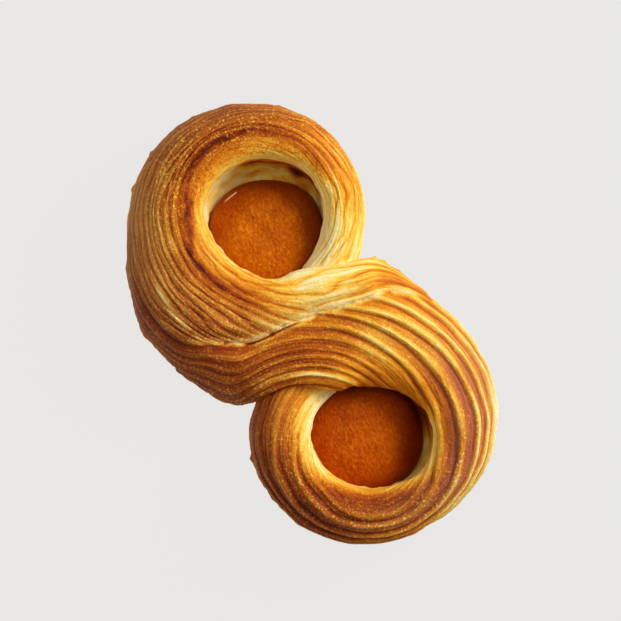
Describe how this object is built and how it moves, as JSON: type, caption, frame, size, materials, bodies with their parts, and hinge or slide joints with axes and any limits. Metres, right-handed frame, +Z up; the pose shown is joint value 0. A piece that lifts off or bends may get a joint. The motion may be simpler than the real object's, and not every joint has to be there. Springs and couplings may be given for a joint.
{
  "type": "apricot danish",
  "caption": "S-shaped danish pastry: a ribbed strand of laminated dough curled round two wells, with half an apricot lying in each well.",
  "frame": {"origin": "on the flat underside, midway between the centres of the two wells", "axes": "+X along the line through the two wells, towards the curl with the broad layers; +Z up, away from the flat underside"},
  "size_m": [0.1494, 0.0937, 0.0313],
  "materials": {
    "crust": "satin",
    "apricot": "semi-gloss"
  },
  "bodies": {
    "root": {"dough": "crust", "apricot_broad": "apricot", "apricot_fine": "apricot"}
  },
  "joints": []
}
